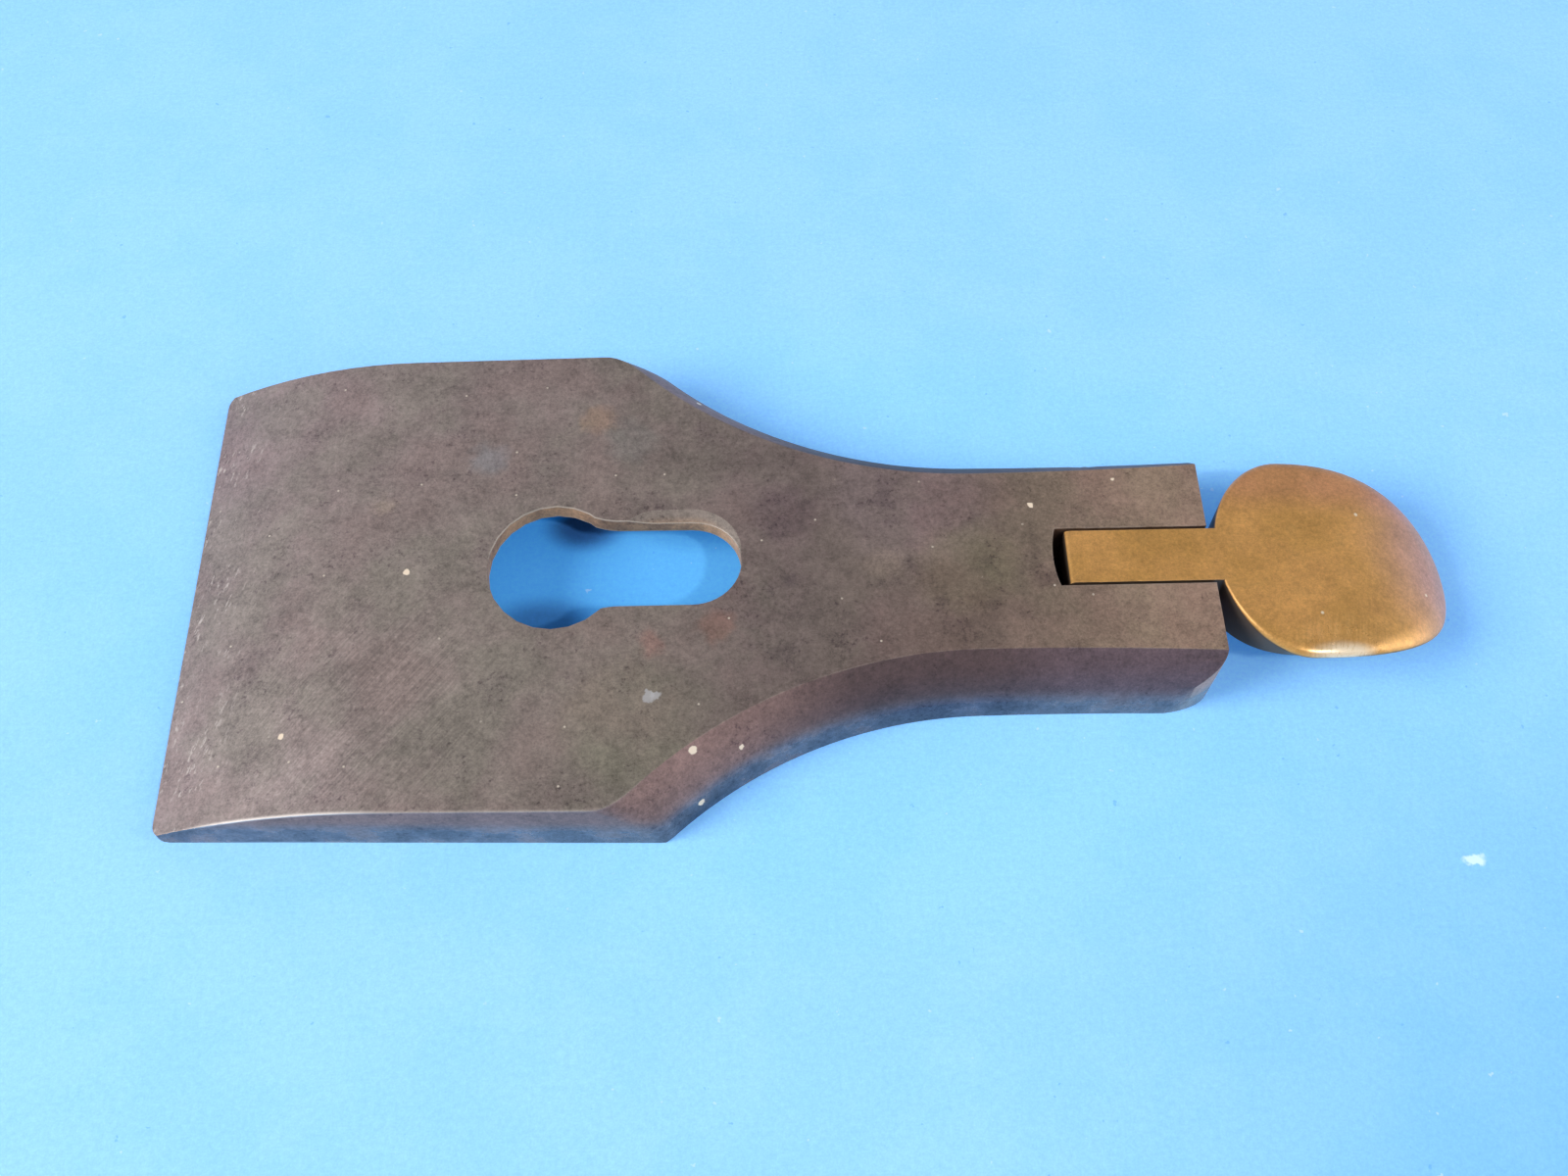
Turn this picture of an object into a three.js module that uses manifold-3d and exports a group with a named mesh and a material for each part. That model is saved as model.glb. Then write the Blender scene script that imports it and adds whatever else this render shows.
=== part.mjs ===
// Lever cap of a bench plane: an iron casting, and a brass cam lever that turns on a cross pin in its rear.
// Millimetres. X runs from the thin clamping edge to the thumb pad, Y across, Z up from the rim's plane.
// The pieces are modelled with the clamping edge at X = 0, and the group is then centred on the whole length.
import * as THREE from "three";
import { mergeVertices } from "three/addons/utils/BufferGeometryUtils.js";
import Module from "manifold-3d";

const wasm = await Module();
wasm.setup();

// Outline of the top face
const frontWidth = 50.8; // two inches across the clamping edge
const shoulderExtra = 1.3; // how much wider the shoulder is than the clamping edge
const neckWidth = 20.3; // at the narrowest place
const rearWidth = 21.6;
const neckFromFront = 79.2; // clamping edge to the narrowest place
const rearFromNeck = 23.4; // narrowest place to the rear end
const waistRadius = 48.4;
const frontCornerRadius = 1.5;
const rearCornerLength = 6.5;

// Heights of the top face above the rim plane
const frontEdgeHeight = 0.7;
const crownLength = 21.3; // the part that bends down to the clamping edge
const crownHeight = 6.7;
const rearHeight = 8.7;

// Side walls: the blade's are nearly upright, those of the waist and neck bulge out below a crisp edge
const bladeDraft = 0.3;
const waistSpread = 4.25;
const rearSpread = 2.7;
const shoulderFullness = 1.9; // the larger, the more the wall swells just below its edge
const neckFullness = 3.2;
const shoulderBlend = 2.2; // rounding of the shoulder at the top face
const mitreBlend = 0.3; // and of the same corner at the rim

// Hollow underside
const plateThickness = 1.4;
const waistPlateThickness = 2.2;
const rimThickness = 3.4;
const clampingLand = 9; // solid flat strip behind the clamping edge
const hollowLength = 57;
const hollowCornerRadius = 4;

// Keyhole for the cap screw
const keyholeFromFront = 37.1;
const keyholeLength = 13.2; // along X
const keyholeWidth = 14.1; // across
const screwSlotWidth = 9.8;
const screwSlotOffset = 0.25; // worn wider towards +Y
const screwSlotEnd = 55.7; // clamping edge to the end of the slot
const keyholeNotchRadius = 0.9;

// Dish that the screw's head has worn into one side of the slot
const wearRadius = 5;
const wearDepth = 1;
const wearInset = 2.2; // how much smaller the dish is at its bottom
const wearOffset = 1.4; // sideways from the slot's middle
const wearTravel = 3.1; // the head was not always clamped at the same place

// Lever slot, pivot pin and their clearances
const fit = 0.3; // gap between pieces that touch or run on each other
const leverThickness = 6;
const leverSlotLength = 15.4;
const slotEndHollow = 0.45; // the slot ends in a shallow arc
const slotEndGap = 1;
const pivotFromRear = 11.1;
const pivotDepth = 2.6; // below the top face
const pinDiameter = 2.6;
const pinEndWall = 3.2; // casting left beyond the blind end of the pin hole

// Cam lever
const camRadius = 3.7; // pivot to the lobe that presses the spring while the lever is shut
const camNoseRadius = 0.5;
const neckDepth = 5.4; // height of the lever's stem
const padGap = 0.5; // rear end of the casting to the pad
const padLength = 25.6;
const padWidth = 22.7;
const padWidestPlace = 8.2; // from the end of the pad at the stem
const padStemSquareness = 1.95; // exponents of the pad's outline, 2 for an ellipse
const padTipSquareness = 2.2;
const padCrown = 0.36; // how much lower its top is at its sides than along its middle
const padRootDepth = 6.6;
const padThickness = 1;
const padTaperLength = 7.2;
const padTaperPower = 1.4;
const padCurlStart = 4; // rear end of the casting to the start of the curl
const padCurlDrop = 6.9; // at the tip
const padCurlPower = 3;
const padRimAtStem = 0.2; // how far the rounding of the upper edge reaches in from the rim
const padRimAtTip = 2.6;
const padRimDrop = 0.7; // height of that rounding at most
const padUnderInset = 0.7; // how much the thin end of the pad is smaller underneath

// Leaf spring and its rivet
const leafThickness = 0.8;
const leafWidth = 11;
const leafStart = 70.5; // clamping edge to the rounded front end of the leaf
const leafPastPivot = 5.2;
const leafTailLift = 0.5;
const rivetDiameter = 2.8;
const rivetHeadDiameter = 5;
const rivetHeadHeight = 0.7;
const rivetShankGrip = 2.6; // how far the shank goes up into the casting
const leafPocketMargin = 1.2;

// Steps of the curved surfaces
const mergeTolerance = 1e-4;
const shoulderReachShare = 1.6; // of its rounding, over which the shoulder is divided finely
const overrun = 2; // how far a cutter runs past the face that it opens
const sideLevels = 9;
const roundSteps = 48;
const padSteps = 80;

// Derived places
const capLength = neckFromFront + rearFromNeck;
const shoulderWidth = frontWidth + shoulderExtra;
const shoulderFromFront = mitrePlace(0, 0);
const pivotX = capLength - pivotFromRear;
const pivotZ = topHeight(pivotX) - pivotDepth;
const leverSlotWidth = leverThickness + 2 * fit;
const leverSlotStart = capLength - leverSlotLength;
const leverEnd = leverSlotStart + slotEndGap;
const padStart = capLength + padGap;
const curlStart = capLength + padCurlStart;
const overallLength = padStart + padLength;
const leafTop = pivotZ - camRadius - fit;
const rivetX = leafStart + leafWidth / 2;
const leafAtRivet = leafTop + leafTailLift;
const leafPocketTop = leafAtRivet + fit;

// Height of the casting's top face: flat over blade, waist and neck, bending down over the crown.
function topHeight(x) {
  const slope = (rearHeight - crownHeight) / (neckFromFront + rearFromNeck - crownLength);
  const flat = crownHeight + slope * (x - crownLength);
  if (x >= crownLength) return flat;
  const drop = crownHeight - slope * crownLength - frontEdgeHeight;
  return flat - drop * ((crownLength - x) / crownLength) ** 2;
}

// The larger the blend, the rounder the corner between the two outlines.
function smoothMin(a, b, blend) {
  const share = Math.max(blend - Math.abs(a - b), 0) / blend;
  return Math.min(a, b) - (blend * share * share) / 4;
}

// Half width of the casting at a place along it and a share of the way down its side, moved in by inset.
function halfWidth(x, downShare, inset = 0) {
  const blade = THREE.MathUtils.lerp(frontWidth, shoulderWidth, x / shoulderFromFront) / 2;
  const alongShare = THREE.MathUtils.clamp(x / capLength, 0, 1);
  const spread = THREE.MathUtils.lerp(waistSpread, rearSpread, alongShare ** 2);
  const neckShare = THREE.MathUtils.inverseLerp(shoulderFromFront, neckFromFront, x);
  const fullness = THREE.MathUtils.lerp(
    shoulderFullness,
    neckFullness,
    THREE.MathUtils.clamp(neckShare, 0, 1),
  );
  const offset = spread * (1 - (1 - downShare) ** fullness) - inset;
  const rearRise = (rearWidth - neckWidth) / 2;
  const rearRadius = (rearFromNeck ** 2 + rearRise ** 2) / (2 * rearRise);
  const radius = x < neckFromFront ? waistRadius : rearRadius;
  const reach = Math.abs(x - neckFromFront);
  const arc = radius - offset;
  const waist = reach < arc ? neckWidth / 2 + radius - Math.sqrt(arc ** 2 - reach ** 2) : Infinity;
  const upright = blade + bladeDraft * downShare - inset;
  if (waist === Infinity) return upright;
  return smoothMin(upright, waist, THREE.MathUtils.lerp(shoulderBlend, mitreBlend, downShare));
}

// Closed solid from rings of equal point counts, each ring running the same way round.
function loft(rings) {
  const points = rings.flat();
  const count = rings[0].length;
  const faces = [];
  const quad = (a, b, c, d) => faces.push(a, b, c, a, c, d);
  for (let r = 0; r + 1 < rings.length; r++) {
    for (let i = 0; i < count; i++) {
      const next = (i + 1) % count;
      quad(r * count + i, r * count + next, (r + 1) * count + next, (r + 1) * count + i);
    }
  }
  // Each end is closed by a ladder of quads between the ring's two halves.
  const last = (rings.length - 1) * count;
  for (let i = 0; i + 1 < count / 2; i++) {
    const far = count - 1 - i;
    quad(i + 1, i, far, far - 1);
    quad(last + i, last + i + 1, last + far - 1, last + far);
  }
  const geometry = new THREE.BufferGeometry();
  const coordinates = points.flatMap((point) => point.toArray());
  geometry.setAttribute("position", new THREE.Float32BufferAttribute(coordinates, 3));
  geometry.setIndex(faces);
  return outward(geometry);
}

// The solid of a closed geometry, turned the right way out if its faces point inwards.
function outward(geometry) {
  geometry.deleteAttribute("normal");
  geometry.deleteAttribute("uv");
  const merged = mergeVertices(geometry, mergeTolerance);
  const faces = new Uint32Array(merged.index.array);
  const position = merged.attributes.position;
  const corners = [new THREE.Vector3(), new THREE.Vector3(), new THREE.Vector3()];
  let volume = 0;
  for (let i = 0; i < faces.length; i += 3) {
    corners.forEach((corner, k) => corner.fromBufferAttribute(position, faces[i + k]));
    volume += corners[0].dot(corners[1].cross(corners[2]));
  }
  if (volume < 0) {
    for (let i = 0; i < faces.length; i += 3) {
      [faces[i + 1], faces[i + 2]] = [faces[i + 2], faces[i + 1]];
    }
  }
  return new wasm.Manifold(new wasm.Mesh({ numProp: 3, vertProperties: position.array, triVerts: faces }));
}

function toMesh(solid, name, material) {
  const { vertProperties, triVerts } = solid.getMesh();
  const geometry = new THREE.BufferGeometry();
  geometry.setAttribute("position", new THREE.BufferAttribute(vertProperties, 3));
  geometry.setIndex(new THREE.BufferAttribute(triVerts, 1));
  const mesh = new THREE.Mesh(geometry, material);
  mesh.name = name;
  return mesh;
}

// A plan outline made into an upright solid between two heights.
function standing(shape, from, to) {
  const geometry = new THREE.ExtrudeGeometry(shape, {
    depth: to - from,
    bevelEnabled: false,
    curveSegments: roundSteps / 4,
  });
  return outward(geometry.translate(0, 0, from));
}

// A side outline (X and Z) made into a solid of the given width across the middle plane.
function across(shape, width) {
  const geometry = new THREE.ExtrudeGeometry(shape, {
    depth: width,
    bevelEnabled: false,
    curveSegments: roundSteps / 4,
  });
  return outward(geometry.rotateX(Math.PI / 2).translate(0, width / 2, 0));
}

// A round bar along Y between two places across the cap.
function crossBar(radius, fromY, toY) {
  const bar = new THREE.CylinderGeometry(radius, radius, toY - fromY, roundSteps);
  return outward(bar.translate(pivotX, (fromY + toY) / 2, pivotZ));
}

function steps(from, to, count) {
  return Array.from({ length: count + 1 }, (_, i) => THREE.MathUtils.lerp(from, to, i / count));
}

// Where the upright blade wall meets the bulging waist: a mitre that runs down the side of the shoulder.
function mitrePlace(downShare, inset) {
  const offset = waistSpread * (1 - (1 - downShare) ** shoulderFullness) - inset;
  const upright = shoulderWidth / 2 + bladeDraft * downShare - inset;
  const sideways = neckWidth / 2 + waistRadius - upright;
  return neckFromFront - Math.sqrt((waistRadius - offset) ** 2 - sideways ** 2);
}

// Stations along the casting at one level of its side: close together where the outline or the top bends.
function stations(from, to, corner, downShare, inset) {
  const mitre = mitrePlace(downShare, inset);
  const near = shoulderBlend * shoulderReachShare;
  const rounded = steps(0, Math.PI / 2, 6).map((angle) => corner * (1 - Math.cos(angle)));
  const start = corner ? rounded.map((d) => from + d) : [from];
  const end = corner ? rounded.map((d) => to - d).reverse() : [to];
  return [
    ...start,
    ...steps(start.at(-1), crownLength, 9).slice(1),
    ...steps(crownLength, mitre - near, 3).slice(1),
    ...steps(mitre - near, mitre + near, 10).slice(1),
    ...(end[0] > neckFromFront
      ? [...steps(mitre + near, neckFromFront, 22).slice(1), ...steps(neckFromFront, end[0], 5).slice(1, -1)]
      : steps(mitre + near, end[0], 12).slice(1, -1)),
    ...end,
  ];
}

// Rings of the casting's outside or of its hollow. Their points follow the mitre, so that it is a clean line.
function castingRings(from, to, bottom, roofDepth, inset, corner) {
  const typicalFace = (crownHeight + rearHeight) / 2;
  const levels = steps(0, 1, sideLevels).map((share) => {
    const z = THREE.MathUtils.lerp(typicalFace - roofDepth(neckFromFront), bottom, share);
    const downShare = THREE.MathUtils.clamp(1 - z / typicalFace, 0, 1);
    return { share, places: stations(from, to, corner, downShare, inset) };
  });
  return levels[0].places.map((_, station) => {
    const side = (sign) =>
      levels.map(({ share, places }) => {
        const x = places[station];
        const face = topHeight(x);
        const z = THREE.MathUtils.lerp(face - roofDepth(x), bottom, share);
        const fromEnd = Math.min(x - from, to - x, corner);
        const cut = corner - Math.sqrt(corner ** 2 - (corner - fromEnd) ** 2);
        const half = halfWidth(x, THREE.MathUtils.clamp(1 - z / face, 0, 1), inset);
        return new THREE.Vector3(x, sign * (half - cut), z);
      });
    return [...side(1), ...side(-1).reverse()];
  });
}

function casting() {
  const outside = loft(castingRings(0, capLength, 0, () => 0, 0, 0));
  return outside
    .intersect(standing(planOutline(), -overrun, rearHeight + overrun))
    .subtract(hollow())
    .subtract(keyhole())
    .subtract(wornDish())
    .subtract(leverSlot())
    .subtract(leafPocket())
    .subtract(crossBar(pinDiameter / 2 + fit, pinFrom() - fit, shoulderWidth / 2))
    .subtract(rivetHole());
}

// Plan of the casting: small front corners, and rear corners cut by arcs that start at the top's own corners.
function planOutline() {
  const half = shoulderWidth / 2 + bladeDraft + overrun;
  const front = halfWidth(0, 1);
  const rear = rearWidth / 2;
  const shape = new THREE.Shape();
  const side = (sign) => [
    [capLength - rearCornerLength, sign * half],
    ...steps(0, Math.PI / 2, roundSteps / 4).map((angle) => [
      capLength - rearCornerLength * (1 - Math.sin(angle)),
      sign * (rear + rearSpread * Math.cos(angle)),
    ]),
  ];
  const points = [
    ...steps(0, Math.PI / 2, roundSteps / 8).map((angle) => [
      frontCornerRadius * (1 - Math.cos(angle)),
      front - frontCornerRadius * (1 - Math.sin(angle)),
    ]),
    [frontCornerRadius, half],
    ...side(1),
    ...side(-1).reverse(),
    [frontCornerRadius, -half],
    ...steps(Math.PI / 2, 0, roundSteps / 8).map((angle) => [
      frontCornerRadius * (1 - Math.cos(angle)),
      -front + frontCornerRadius * (1 - Math.sin(angle)),
    ]),
  ];
  shape.setFromPoints(points.map(([x, y]) => new THREE.Vector2(x, y)));
  return shape;
}

// The underside is hollow behind the clamping land. The plate over it grows thicker towards the waist.
function hollow() {
  const end = clampingLand + hollowLength;
  const roofDepth = (x) =>
    THREE.MathUtils.mapLinear(x, clampingLand, end, plateThickness, waistPlateThickness);
  return loft(castingRings(clampingLand, end, -overrun, roofDepth, rimThickness, hollowCornerRadius));
}

function keyhole() {
  const hole = new THREE.Shape();
  hole.absellipse(keyholeFromFront, 0, keyholeLength / 2, keyholeWidth / 2, 0, 2 * Math.PI);
  const radius = screwSlotWidth / 2;
  const near = screwSlotOffset - radius;
  const far = screwSlotOffset + radius;
  const slot = new THREE.Shape();
  slot.moveTo(keyholeFromFront, near);
  slot.lineTo(screwSlotEnd - radius, near);
  slot.absarc(screwSlotEnd - radius, screwSlotOffset, radius, -Math.PI / 2, Math.PI / 2);
  slot.lineTo(keyholeFromFront, far);
  // Where the slot leaves the round hole its corners are worn off.
  const meetX = keyholeFromFront + (keyholeLength / 2) * Math.sqrt(1 - (screwSlotWidth / keyholeWidth) ** 2);
  const worn = new THREE.Shape();
  worn.moveTo(meetX - 2 * keyholeNotchRadius, near - keyholeNotchRadius);
  worn.quadraticCurveTo(meetX, near, meetX + 2 * keyholeNotchRadius, near);
  worn.lineTo(meetX + 2 * keyholeNotchRadius, far);
  worn.quadraticCurveTo(meetX, far, meetX - 2 * keyholeNotchRadius, far + keyholeNotchRadius);
  const top = rearHeight + overrun;
  return standing(hole, -overrun, top)
    .add(standing(slot, -overrun, top))
    .add(standing(worn, -overrun, top));
}

// A shallow dish with sloping sides, run a little way along the slot.
function wornDish() {
  const centre = screwSlotEnd - wearRadius - wearTravel / 2;
  const slope = (topHeight(centre + wearTravel) - topHeight(centre)) / wearTravel;
  const ring = (radius, below) =>
    steps(0, 2 * Math.PI, roundSteps)
      .slice(1)
      .map((angle) => {
        const x = centre + Math.sign(Math.cos(angle)) * (wearTravel / 2) + radius * Math.cos(angle);
        const z = topHeight(centre) + slope * (x - centre) - below;
        return new THREE.Vector3(x, wearOffset + radius * Math.sin(angle), z);
      });
  return loft([ring(wearRadius + wearInset, -wearDepth), ring(wearRadius - wearInset, wearDepth)]);
}

function leverSlot() {
  const half = leverSlotWidth / 2;
  const shape = new THREE.Shape();
  shape.moveTo(capLength + overrun, -half);
  shape.lineTo(capLength + overrun, half);
  shape.lineTo(leverSlotStart, half);
  shape.quadraticCurveTo(leverSlotStart - 2 * slotEndHollow, 0, leverSlotStart, -half);
  return standing(shape, -overrun, rearHeight + overrun);
}

// Shallow pocket under the neck that takes the leaf spring.
function leafPocket() {
  const half = leafWidth / 2 + leafPocketMargin;
  const start = leafStart - leafPocketMargin;
  const end = pivotX + leafPastPivot + leafPocketMargin;
  const shape = new THREE.Shape();
  shape.moveTo(start + half, -half);
  shape.lineTo(end, -half);
  shape.lineTo(end, half);
  shape.lineTo(start + half, half);
  shape.absarc(start + half, 0, half, Math.PI / 2, (3 * Math.PI) / 2);
  return standing(shape, -overrun, leafPocketTop);
}

function rivetHole() {
  const radius = rivetDiameter / 2 + fit;
  const height = overrun + rivetShankGrip + fit;
  const bar = new THREE.CylinderGeometry(radius, radius, height, roundSteps);
  const bottom = leafPocketTop - overrun;
  return outward(bar.rotateX(Math.PI / 2).translate(rivetX, 0, bottom + height / 2));
}

// The pin is driven in from the far side, and its hole stops short of the near flank.
function pinFrom() {
  return pinEndWall - halfWidth(pivotX, 1 - pivotZ / topHeight(pivotX));
}

function pivotPin() {
  const end = halfWidth(pivotX, 1 - (pivotZ + pinDiameter / 2) / topHeight(pivotX));
  return crossBar(pinDiameter / 2, pinFrom(), end);
}

// Top of the lever: level with the casting, then curling down more and more towards the tip of the pad.
function leverTop(x) {
  return topHeight(x) - padCurlDrop * curlShare(x) ** padCurlPower;
}

function curlShare(x) {
  return Math.max(x - curlStart, 0) / (overallLength - curlStart);
}

// Upright depth of the pad, which is of one thickness along its curl.
function padDepth(x) {
  const curlLength = overallLength - curlStart;
  const slope = (padCurlPower * padCurlDrop * curlShare(x) ** (padCurlPower - 1)) / curlLength;
  const share = THREE.MathUtils.clamp((x - padStart) / padTaperLength, 0, 1);
  const thin = padThickness * Math.hypot(1, slope);
  return thin + (padRootDepth - padThickness) * (1 - share) ** padTaperPower;
}

// Thumb pad: a slightly crowned top with a rounded rim, deep where it leaves the stem and thin over the rest.
function thumbPad() {
  // A point of the pad: its way round, its share of the way out, and its distances in from the rim and down.
  const point = (angle, outShare, inset, depthAt) => {
    const c = Math.cos(angle);
    const s = Math.sin(angle);
    const power = 2 / (c > 0 ? padTipSquareness : padStemSquareness);
    const reach = c > 0 ? padLength - padWidestPlace : padWidestPlace;
    const x = reach * Math.sign(c) * Math.abs(c) ** power;
    const y = (padWidth / 2) * Math.sign(s) * Math.abs(s) ** power;
    const shrink = outShare * (1 - inset / Math.hypot(x, y));
    const px = padStart + padWidestPlace + x * shrink;
    const crown = padCrown * ((2 * y * shrink) / padWidth) ** 2;
    return new THREE.Vector3(px, y * shrink, leverTop(px) - crown - depthAt(px));
  };
  const angles = steps(0, 2 * Math.PI, padSteps).slice(1);
  const towardsTip = (angle) => (1 + Math.cos(angle)) / 2;
  const rim = (angle) => THREE.MathUtils.lerp(padRimAtStem, padRimAtTip, towardsTip(angle));
  const outShares = [0.02, 0.25, 0.45, 0.62, 0.76, 0.88];
  const top = outShares.map((share) => angles.map((a) => point(a, share, rim(a), () => 0)));
  const rounding = steps(0, Math.PI / 2, 6).map((turn) =>
    angles.map((a) => {
      const drop = Math.min(rim(a), padRimDrop) * (1 - Math.cos(turn));
      return point(a, 1, rim(a) * (1 - Math.sin(turn)), () => drop);
    }),
  );
  const bottom = [1, ...outShares.toReversed()].map((share) =>
    angles.map((a) => point(a, share, padUnderInset * towardsTip(a), padDepth)),
  );
  return loft([...top, ...rounding, ...bottom]);
}

// Stem and cam: the lobe under the pivot is farther from it than the square inner end is.
function camStem() {
  const innerReach = pivotX - leverEnd;
  const shape = new THREE.Shape();
  const topLeft = leverTop(leverEnd);
  const stemBottom = (x) => leverTop(x) - neckDepth;
  const tuckedIn = padStart + neckDepth / 2;
  shape.moveTo(leverEnd, pivotZ);
  shape.lineTo(leverEnd, topLeft - camNoseRadius);
  shape.quadraticCurveTo(leverEnd, topLeft, leverEnd + camNoseRadius, leverTop(leverEnd + camNoseRadius));
  // From the pad's edge on, the stem's top dips into the pad.
  shape.lineTo(padStart, leverTop(padStart));
  shape.lineTo(curlStart, leverTop(curlStart) - fit);
  shape.lineTo(tuckedIn, leverTop(tuckedIn) - padDepth(tuckedIn) + fit);
  shape.lineTo(padStart, stemBottom(padStart));
  const lobeHeight = pivotZ - stemBottom(pivotX + camRadius);
  const lobeRear = Math.acos(THREE.MathUtils.clamp(lobeHeight / camRadius, -1, 1));
  for (const angle of steps(lobeRear, 0, roundSteps / 6)) {
    shape.lineTo(pivotX + camRadius * Math.sin(angle), pivotZ - camRadius * Math.cos(angle));
  }
  for (const angle of steps(0, Math.PI / 2, roundSteps / 4).slice(1, -1)) {
    const radius = THREE.MathUtils.lerp(camRadius, innerReach, angle / (Math.PI / 2));
    shape.lineTo(pivotX - radius * Math.sin(angle), pivotZ - radius * Math.cos(angle));
  }
  return across(shape, leverThickness);
}

function camLever() {
  return camStem()
    .add(thumbPad())
    .subtract(crossBar(pinDiameter / 2 + fit, -leverThickness, leverThickness));
}

// Height of the leaf's upper face: flat at the rivet, lowest under the cam, its tail turned up a little.
function leafUpper(x) {
  const flatEnd = rivetX + rivetHeadDiameter / 2;
  if (x < flatEnd) return leafAtRivet;
  const share = Math.min((x - flatEnd) / (pivotX - flatEnd), 1);
  const eased = (1 - Math.cos(Math.PI * share)) / 2;
  const tailShare = Math.max((x - pivotX) / leafPastPivot, 0);
  return THREE.MathUtils.lerp(leafAtRivet, leafTop, eased) + leafTailLift * tailShare ** 2;
}

function leafSpring() {
  const end = pivotX + leafPastPivot;
  const places = steps(leafStart, end, roundSteps / 2);
  const strip = new THREE.Shape(
    [
      ...places.map((x) => [x, leafUpper(x)]),
      ...places.toReversed().map((x) => [x, leafUpper(x) - leafThickness]),
    ].map(([x, z]) => new THREE.Vector2(x, z)),
  );
  const half = leafWidth / 2;
  const plan = new THREE.Shape();
  plan.moveTo(rivetX, -half);
  plan.lineTo(end - leafThickness, -half);
  plan.lineTo(end, -half + leafThickness);
  plan.lineTo(end, half - leafThickness);
  plan.lineTo(end - leafThickness, half);
  plan.lineTo(rivetX, half);
  plan.absarc(rivetX, 0, half, Math.PI / 2, (3 * Math.PI) / 2);
  const hole = new THREE.Path();
  hole.absarc(rivetX, 0, rivetDiameter / 2 + fit, 0, 2 * Math.PI, true);
  plan.holes.push(hole);
  return across(strip, leafWidth + overrun).intersect(standing(plan, -overrun, leafPocketTop));
}

// Domed head under the leaf, shank up through it into the casting.
function springRivet() {
  const headTop = leafAtRivet - leafThickness - fit;
  const headRadius = rivetHeadDiameter / 2;
  const shankTop = leafPocketTop + rivetShankGrip;
  const dome = steps(0, Math.PI / 2, 6).map(
    (angle) =>
      new THREE.Vector2(headRadius * Math.sin(angle), headTop - rivetHeadHeight * Math.cos(angle)),
  );
  const profile = [
    ...dome,
    new THREE.Vector2(rivetDiameter / 2, headTop),
    new THREE.Vector2(rivetDiameter / 2, shankTop),
    new THREE.Vector2(0, shankTop),
  ];
  const geometry = new THREE.LatheGeometry(profile, roundSteps);
  return outward(geometry.rotateX(Math.PI / 2).translate(rivetX, 0, 0));
}

const iron = new THREE.MeshStandardMaterial({ color: 0x5a4f4a, metalness: 0.7, roughness: 0.55 });
const brass = new THREE.MeshStandardMaterial({ color: 0xad8448, metalness: 0.9, roughness: 0.4 });
const steel = new THREE.MeshStandardMaterial({ color: 0x8c8c90, metalness: 0.9, roughness: 0.45 });
const springSteel = new THREE.MeshStandardMaterial({ color: 0x4d5058, metalness: 0.9, roughness: 0.4 });

const leverCap = new THREE.Group();
leverCap.add(
  toMesh(casting(), "cap_body", iron),
  toMesh(camLever(), "cam_lever", brass),
  toMesh(pivotPin(), "pivot_pin", steel),
  toMesh(leafSpring(), "leaf_spring", springSteel),
  toMesh(springRivet(), "spring_rivet", steel),
);
leverCap.position.x = -overallLength / 2;

export default leverCap;
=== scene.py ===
import math

import bpy
from mathutils import Matrix, Vector


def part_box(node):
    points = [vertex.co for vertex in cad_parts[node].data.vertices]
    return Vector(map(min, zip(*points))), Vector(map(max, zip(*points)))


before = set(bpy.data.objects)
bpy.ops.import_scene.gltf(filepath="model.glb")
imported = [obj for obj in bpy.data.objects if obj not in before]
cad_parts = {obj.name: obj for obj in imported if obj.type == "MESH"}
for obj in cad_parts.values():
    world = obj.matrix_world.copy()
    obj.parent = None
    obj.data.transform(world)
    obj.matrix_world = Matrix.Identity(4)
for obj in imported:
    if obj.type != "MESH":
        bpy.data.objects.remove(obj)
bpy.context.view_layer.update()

MM = 0.001
clamping_edge_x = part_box("cap_body")[0].x
casting_length = (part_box("cap_body")[1].x - clamping_edge_x) / MM

# Camera: the photograph's viewpoint
PICTURE_WIDTH = 1600  # pixels
FOCAL_PIXELS = 1628.39
SENSOR_WIDTH = 36  # millimetres on the camera's own plate
AIM = (60.18, 1.43, 0)
CAMERA_DISTANCE = 165.94 * MM
CAMERA_ELEVATION = math.radians(60)
CAMERA_TURN = math.radians(4.282)
CAMERA_ROLL = math.radians(3.276)
NEAREST_SEEN = 10 * MM

# Lamps: the share of full light that each gives the ground, its bearing and elevation in degrees, and
# its width in metres. With the sky's light the shares come to about one.
LAMPS = {
    "left_lamp": (0.46, 195, 32, 0.5),
    "right_lamp": (0.13, -6, 18, 0.6),
    "near_lamp": (0.17, -50, 54, 0.07),
}
LAMP_REACH = 1.0
LAMP_COLOUR = (1.04, 1.0, 0.95)
SKY_COLOUR = (0.9, 0.97, 1.1)
HORIZON_LEVEL = 0.6
ZENITH_LEVEL = 0.12

# Patterns: how far one seed's noise lies from the next, the seed of the noise that frays outlines, the
# samples that a rounded edge takes, and how softly a fleck's outline fades
SEED_STEP = (31, 7, 3)
RAGGED_SEED = 9
EDGE_SAMPLES = 6
FLECK_BLUR = 0.12

# Spots in the tables below are given by centre, radius within which they are full, blur outside it and,
# where there is one, the stretch of radius and blur along X, Y and Z.

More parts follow.
